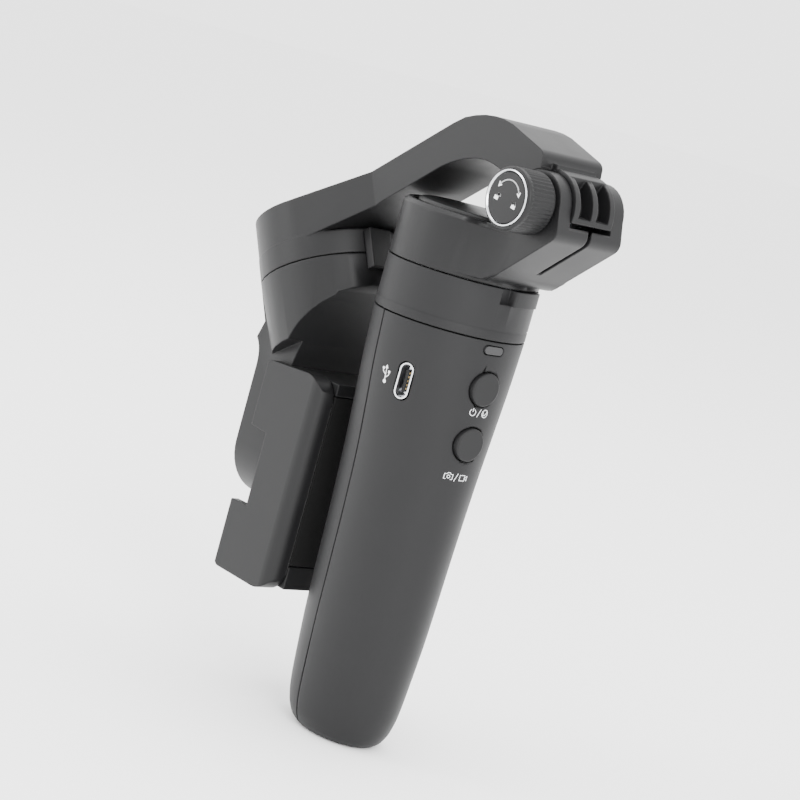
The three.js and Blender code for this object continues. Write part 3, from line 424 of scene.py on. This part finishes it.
def face_place(y, depth):
    """Frame on the grip's +X side that faces along +X: +Z out, +Y up."""
    a, b = grip_at(GRIP_LENGTH - depth)
    x = a * math.sqrt(1 - (y / b) ** 2)
    basis = Matrix(((0, 0, 1), (1, 0, 0), (0, 1, 0))).to_4x4()
    return Matrix.Translation((x, y, GRIP_LENGTH - depth)) @ basis


BUTTON_RADIUS = 3.65 * MM
BUTTON_GAP = 0.25 * MM
BUTTON_PLACES = {
    "power_button": face_place(-0.6 * MM, 10.3 * MM),
    "shutter_button": face_place(-0.6 * MM, 22.4 * MM),
}
USB_PLACE = surface_place(24, 12.8 * MM)
USB_WIDTH, USB_HEIGHT = 3.2 * MM, 7.8 * MM
LAMP_PLACE = face_place(-1.1 * MM, 1.95 * MM)
LAMP_WIDTH, LAMP_HEIGHT = 5 * MM, 1.7 * MM
SCREW_RADIUS = 1.9 * MM
SCREW_HOLE_RADIUS = 1.2 * MM
# Heights of a cut through the wall, from a place on the grip's surface
THROUGH_WALL = (-6 * MM, 3 * MM)
SCREW_PLACES = {
    "upper_cover_screw": surface_place(270, 22 * MM),
    "lower_cover_screw": surface_place(270, 78 * MM),
}


def cutter(bm):
    return piece("cutter", bm, None, None, material=INK)


def round_cutter(radius, low, high, place):
    return cutter(turn([(0, low), (radius, low), (radius, high), (0, high)], place, 64))


def foot_bore():
    return round_cutter(FOOT_BORE_RADIUS, -1 * MM, 4 * MM, Matrix.Identity(4))


def build_handle():
    openings = [
        cutter(prism(pill(USB_WIDTH + 0.6 * MM, USB_HEIGHT + 0.6 * MM), *THROUGH_WALL, USB_PLACE)),
        cutter(prism(pill(LAMP_WIDTH + 0.4 * MM, LAMP_HEIGHT + 0.4 * MM), *THROUGH_WALL, LAMP_PLACE)),
        foot_bore(),
    ]
    for place in BUTTON_PLACES.values():
        openings.append(round_cutter(BUTTON_RADIUS + BUTTON_GAP, *THROUGH_WALL, place))
        # shallow dish round each button
        dish = [(0, -0.12 * MM), (BUTTON_RADIUS + 0.3 * MM, -0.12 * MM),
                (BUTTON_RADIUS + 0.9 * MM, 1.2 * MM), (0, 1.2 * MM)]
        openings.append(cutter(turn(dish, place, 64)))
    recesses = [foot_bore()]
    for place in SCREW_PLACES.values():
        recesses.append(round_cutter(SCREW_RADIUS + 0.3 * MM, -0.9 * MM, 3 * MM, place))
        recesses.append(round_cutter(SCREW_HOLE_RADIUS, *THROUGH_WALL, place))
    for side, node, cuts in ((1, "handle_shell", openings), (-1, "handle_rear_cover", recesses)):
        half = piece(f"{node}_moulded", grip_skin(0, 0, HANDLE_TOP), "handle", "shell_plastic")
        inner = cutter(grip_skin(GRIP_WALL, GRIP_FLOOR, HANDLE_TOP + 1 * MM, 96, 40))
        cut(half, [half_room(side), inner, *cuts])
        soften(half, 0.14 * MM)
        shade(half, 30)
        weighted(half)
        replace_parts(half, node)


def soften(obj, width):
    """Small round on the edges of more than 50 degrees."""
    step = obj.modifiers.new("round", "BEVEL")
    step.width = width
    step.segments = 2
    step.limit_method = "ANGLE"
    step.angle_limit = math.radians(50)
    step.use_clamp_overlap = False
    apply_modifiers(obj)


build_handle()


# ---------------------------------------------------------------- buttons, socket, screws


def build_buttons():
    proud = 0.5 * MM
    for node, place in BUTTON_PLACES.items():
        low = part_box(node)[0].x - place.translation.x
        profile = rounded([(0, low), (BUTTON_RADIUS, low), (BUTTON_RADIUS, proud), (0, proud - 0.2 * MM)],
                          0.5 * MM, 6)
        cap = piece(f"{node}_cap", turn(profile, place), node, "button_plastic")
        wide, base, top = BUTTON_RADIUS + 0.7 * MM, low - 0.01 * MM, low + 0.5 * MM
        flange = turn([(0, base), (wide, base), (wide, top), (0, top)], place, 64)
        piece(f"{node}_flange", flange, node, "button_plastic")
        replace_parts(cap, node)


def build_socket():
    shell = piece("usb_socket_shell", prism(pill(USB_WIDTH, USB_HEIGHT, 12), -5 * MM, -0.15 * MM, USB_PLACE),
                  "handle", "socket_metal")
    mouth = prism(pill(USB_WIDTH - 0.7 * MM, USB_HEIGHT - 0.7 * MM, 12), -4.4 * MM, 1 * MM, USB_PLACE)
    cut(shell, [cutter(mouth)])
    soften(shell, 0.08 * MM)
    shade(shell, 32)
    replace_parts(shell, "usb_socket")
    half = 0.33 * MM
    reach = USB_HEIGHT * 0.3
    blade = prism([(-half, -reach), (half, -reach), (half, reach), (-half, reach)], -4.5 * MM, -1.0 * MM,
                  USB_PLACE, 0.08 * MM)
    piece("usb_socket_tongue", blade, "handle", "button_plastic")
    for i in range(5):  # five contacts at a pitch of 0.85 mm
        y = (i - 2) * 0.85 * MM
        width, near = 0.2 * MM, 0.36 * MM
        contact = prism([(half - 0.02 * MM, y - width), (near, y - width), (near, y + width),
                         (half - 0.02 * MM, y + width)], -4.2 * MM, -1.3 * MM, USB_PLACE)
        piece(f"usb_contact_{i + 1}", contact, "handle", "brass")


def build_lamp():
    lens = prism(pill(LAMP_WIDTH, LAMP_HEIGHT, 12), -2.6 * MM, -0.05 * MM, LAMP_PLACE, 0.12 * MM)
    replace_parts(piece("status_lamp_lens", lens, "handle", "lamp_lens"), "status_lamp")


def build_screws():
    for node, place in SCREW_PLACES.items():
        outline = [(0, -5 * MM), (0.9 * MM, -5 * MM), (0.9 * MM, -0.75 * MM), (SCREW_RADIUS, -0.75 * MM),
                   (SCREW_RADIUS, -0.1 * MM), (0, -0.05 * MM)]
        profile = rounded(outline, 0.15 * MM)
        screw = piece(f"{node}_head", turn(profile, place, 64), "handle", "steel")
        blades = []
        for angle in (0, 90):
            cross = place @ Matrix.Rotation(math.radians(angle), 4, "Z")
            w, r = 0.22 * MM, 1.15 * MM
            blades.append(cutter(prism([(-r, -w), (r, -w), (r, w), (-r, w)], -0.55 * MM, 1 * MM, cross)))
        cut(screw, blades)
        shade(screw, 32)
        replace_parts(screw, node)


build_buttons()
build_socket()
build_lamp()
build_screws()


# ---------------------------------------------------------------- printed marks


INK_THICKNESS = 0.03 * MM
INK_ROOT = 0.05 * MM
PRINTED_ON = {"handle": "handle_shell", "knob": "knob_disc"}


def on_grip(azimuth, depth):
    """Maps (across, up) in metres to the grip's surface, with the height above it."""
    def place(u, v, h):
        a, b = grip_at(GRIP_LENGTH - depth + v)
        middle = surface_place(azimuth, depth - v)
        side = middle.col[0].xyz
        point = middle.translation + side * u
        scale = math.hypot(point.x / a, point.y / b)
        on = Vector((point.x / scale, point.y / scale, point.z))
        normal = Vector((on.x / a ** 2, on.y / b ** 2, 0)).normalized()
        return on + normal * h
    return place


def on_face(y, depth):
    """The same, on the grip's +X side, with across along +Y."""
    def place(u, v, h):
        a, b = grip_at(GRIP_LENGTH - depth + v)
        yy = y + u
        x = a * math.sqrt(1 - (yy / b) ** 2)
        normal = Vector((x / a ** 2, yy / b ** 2, 0)).normalized()
        return Vector((x, yy, GRIP_LENGTH - depth + v)) + normal * h
    return place


def on_disc(place_matrix, top):
    def place(u, v, h):
        return place_matrix @ Vector((u, v, top + h))
    return place


def arc(cx, cy, radius, start, end, steps=20):
    return [(cx + radius * math.cos(math.radians(start + (end - start) * i / steps)),
             cy + radius * math.sin(math.radians(start + (end - start) * i / steps)))
            for i in range(steps + 1)]


def printed(name, strokes, place, body, width=0.2 * MM):
    """Ink strokes as thin closed slabs. A stroke is its kind, line or fill, and its (x, y) points in
    millimetres."""
    bm = bmesh.new()
    for kind, points in strokes:
        points = [Vector(p) * MM for p in points]
        if kind == "fill":
            add_slab(bm, points, place)
            continue
        for a, b in zip(points, points[1:]):
            along = (b - a).normalized()
            across = Vector((-along.y, along.x)) * width / 2
            reach = along * width * 0.3
            start, end = a - reach, b + reach
            add_slab(bm, [start - across, end - across, end + across, start + across], place)
    return piece(name, bm, body, slot_of[PRINTED_ON[body]], 40, INK, merge=False)


def add_slab(bm, outline, place):
    low = [bm.verts.new(place(p.x, p.y, -INK_ROOT)) for p in outline]
    high = [bm.verts.new(place(p.x, p.y, INK_THICKNESS)) for p in outline]
    bm.faces.new(low[::-1])
    bm.faces.new(high)
    for i in range(len(outline)):
        j = (i + 1) % len(outline)
        bm.faces.new([low[i], low[j], high[j], high[i]])


def print_marks():
    branch = [
        ("line", [(0, -1.5), (0, 1.3)]),
        ("fill", [(-0.42, 1.1), (0.42, 1.1), (0, 1.85)]),
        ("fill", arc(0, -1.7, 0.42, 0, 342, 18)),
        ("line", [(0, -0.9), (0.85, -0.2), (0.85, 0.3)]),
        ("line", [(0, -0.3), (-0.85, 0.35), (-0.85, 0.75)]),
        ("fill", [(0.6, 0.25), (1.1, 0.25), (1.1, 0.75), (0.6, 0.75)]),
        ("fill", arc(-0.85, 0.95, 0.3, 0, 342, 18)),
    ]
    printed("socket_mark", branch, on_grip(6.5, 12.6 * MM), "handle", 0.17 * MM)
    power = [
        ("line", arc(-1.75, 0, 0.72, 125, 415)),
        ("line", [(-1.75, 0.15), (-1.75, 0.9)]),
        ("line", [(-0.45, -0.85), (0.25, 0.85)]),
        ("line", arc(1.6, 0, 0.82, 0, 360)),
        ("line", [(1.1, 0.35), (1.1, -0.4), (1.6, -0.4), (2.1, 0.1), (2.1, 0.4)]),
    ]
    printed("power_mark", power, on_face(-0.4 * MM, 15.4 * MM), "handle", 0.12 * MM)
    camera = [
        ("line", [(-3.0, -0.6), (-1.1, -0.6), (-1.1, 0.5), (-1.6, 0.5), (-1.8, 0.8), (-2.3, 0.8),
                  (-2.5, 0.5), (-3.0, 0.5), (-3.0, -0.6)]),
        ("line", arc(-2.05, -0.05, 0.33, 0, 360, 16)),
        ("line", [(-0.55, -0.85), (0.1, 0.85)]),
        ("line", [(0.75, -0.6), (2.1, -0.6), (2.1, 0.6), (0.75, 0.6), (0.75, -0.6)]),
        ("line", [(2.2, 0.1), (2.8, 0.5), (2.8, -0.5), (2.2, -0.1)]),
    ]
    printed("camera_mark", camera, on_face(-1.3 * MM, 29.7 * MM), "handle", 0.12 * MM)


print_marks()


# ---------------------------------------------------------------- locking knob


def build_knob():
    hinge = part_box("hinge_bolt")
    middle = (hinge[0] + hinge[1]) / 2
    place = Matrix.Translation((middle.x, 0, middle.z)) @ Matrix.Rotation(math.radians(90), 4, "X")
    radius, teeth, depth = 6.5 * MM, 44, 0.28 * MM
    low, high = KNOB_NEAR, KNOB_FAR

    def ridge(angle, height):
        inside = low + 0.9 * MM < height < high - 1.3 * MM
        return -depth * (0.5 - 0.5 * math.cos(teeth * angle)) ** 0.6 if inside else -depth * 0.3

    heights = [low + 0.95 * MM, low + 1.2 * MM, high - 1.6 * MM, high - 1.35 * MM]
    profile = rounded([(0, low), (radius - 0.5 * MM, low), (radius, low + 0.7 * MM)], 0.2 * MM)
    profile += [Vector((radius, h)) for h in heights]
    profile += rounded([(radius, high - 1.2 * MM), (radius, high - 0.35 * MM), (radius - 0.75 * MM, high),
                        (5.85 * MM, high), (5.75 * MM, high - 0.55 * MM), (0, high - 0.55 * MM)], 0.3 * MM)
    grip = piece("hinge_knob_grip", turn(profile, place, teeth * 10, ridge), "knob", "arm_plastic", 50)
    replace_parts(grip, "hinge_knob")

    rim_profile = [(5.2 * MM, high - 0.2 * MM), (5.45 * MM, high + 0.18 * MM), (5.7 * MM, high + 0.12 * MM),
                   (5.78 * MM, high - 0.2 * MM), (5.2 * MM, high - 0.2 * MM)]
    piece("knob_rim", turn(rim_profile, place, 128), "knob", "steel", 60, RIM_METAL)
    top = high + 0.02 * MM
    disc_profile = rounded([(0, high - 0.5 * MM), (5.15 * MM, high - 0.5 * MM), (5.15 * MM, top),
                            (0, top)], 0.15 * MM)
    disc = piece("knob_disc_face", turn(disc_profile, place, 128), "knob", "arm_plastic")
    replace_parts(disc, "knob_disc")

    face = on_disc(place, top)
    lock = [("fill", [(-0.55, -0.75), (0.55, -0.75), (0.55, 0.05), (-0.55, 0.05)])]
    shackle = arc(0, 0.05, 0.36, 0, 180, 12)
    closed = lock + [("line", [(0.36, 0.0), *shackle, (-0.36, 0.0)])]
    opened = lock + [("line", [(p[0] + 0.55, p[1] + 0.18) for p in shackle] + [(0.19, 0.0)])]

    def moved(strokes, dx, dy, turn_by):
        c, s = math.cos(math.radians(turn_by)), math.sin(math.radians(turn_by))
        return [(kind, [(dx + c * x - s * y, dy + s * x + c * y) for x, y in points])
                for kind, points in strokes]

    marks = [
        ("line", arc(0, 0.3, 3.3, 28, 152, 28)),
        ("fill", [(3.25, 1.15), (2.35, 1.75), (3.35, 2.35)]),
        ("fill", [(-3.25, 1.15), (-2.35, 1.75), (-3.35, 2.35)]),
    ]
    marks += moved(opened, -2.7, -0.6, 0) + moved(closed, 2.7, -0.6, 0)
    printed("lock_marks", moved(marks, 0, 0, -8), face, "knob", 0.26 * MM)


build_knob()


# ---------------------------------------------------------------- moulded housings from the CAD solids

# Rounding of each node's edges in millimetres. With 0, the edges are rounded by the shading only
ROUNDS = {
    "pan_collar": 0, "pan_yoke": 0, "pan_cap": 0.15, "fold_arm": 0, "fold_arm_cover": 0.15,
    "roll_arm": 0, "tilt_end_cap": 0.15, "clamp_body": 0, "clamp_back_plate": 0,
    "clamp_side_pad": 0.2, "sliding_jaw": 0.25, "sliding_jaw_pad": 0.2, "fixed_jaw_pad": 0.2,
    "phone_rest_pad": 0.2, "hinge_nut": 0.15, "tripod_insert": 0,
}
for node, width in ROUNDS.items():
    refined(node, width * MM)

for node in body_of:
    mesh = frame["nodes"][node].data
    mesh.materials.clear()
    mesh.materials.append(LOOKS[slot_of[node]])


# ---------------------------------------------------------------- stage


FLOOR_REACH = 4.0
FLOOR_Z = -0.4 * MM
FLOOR_COLOUR = (0.96, 0.96, 0.96, 1)
SKY_STRENGTH = 2.9


def build_stage():
    floor_mesh = bpy.data.meshes.new("floor")
    reach = FLOOR_REACH
    corners = [(-reach, -reach, FLOOR_Z), (reach, -reach, FLOOR_Z), (reach, reach, FLOOR_Z),
               (-reach, reach, FLOOR_Z)]
    floor_mesh.from_pydata(corners, [], [(0, 1, 2, 3)])
    floor = bpy.data.objects.new("floor", floor_mesh)
    bpy.context.scene.collection.objects.link(floor)
    pale = bpy.data.materials.new("pale_floor")
    pale.use_nodes = True
    shader = pale.node_tree.nodes["Principled BSDF"]
    shader.inputs["Base Color"].default_value = FLOOR_COLOUR
    shader.inputs["Roughness"].default_value = 0.9
    floor_mesh.materials.append(pale)

    world = bpy.data.worlds.new("studio")
    world.use_nodes = True
    background = world.node_tree.nodes["Background"]
    background.inputs["Color"].default_value = (1, 1, 1, 1)
    background.inputs["Strength"].default_value = SKY_STRENGTH
    bpy.context.scene.world = world


def area_light(name, place, target, size, power):
    data = bpy.data.lights.new(name, "AREA")
    data.shape = "RECTANGLE"
    data.size, data.size_y = size
    data.energy = power
    light = bpy.data.objects.new(name, data)
    bpy.context.scene.collection.objects.link(light)
    light.location = place
    light.rotation_euler = (Vector(target) - Vector(place)).to_track_quat("-Z", "Y").to_euler()


build_stage()
MIDDLE = (0, 0, 0.08)
area_light("key", (0.75, -0.35, 0.5), MIDDLE, (0.35, 0.6), 9)
area_light("side", (-0.55, -0.75, 0.45), MIDDLE, (0.25, 0.7), 5)
area_light("top", (-0.1, 0.1, 0.95), MIDDLE, (0.5, 0.5), 6)

bpy.context.view_layer.update()
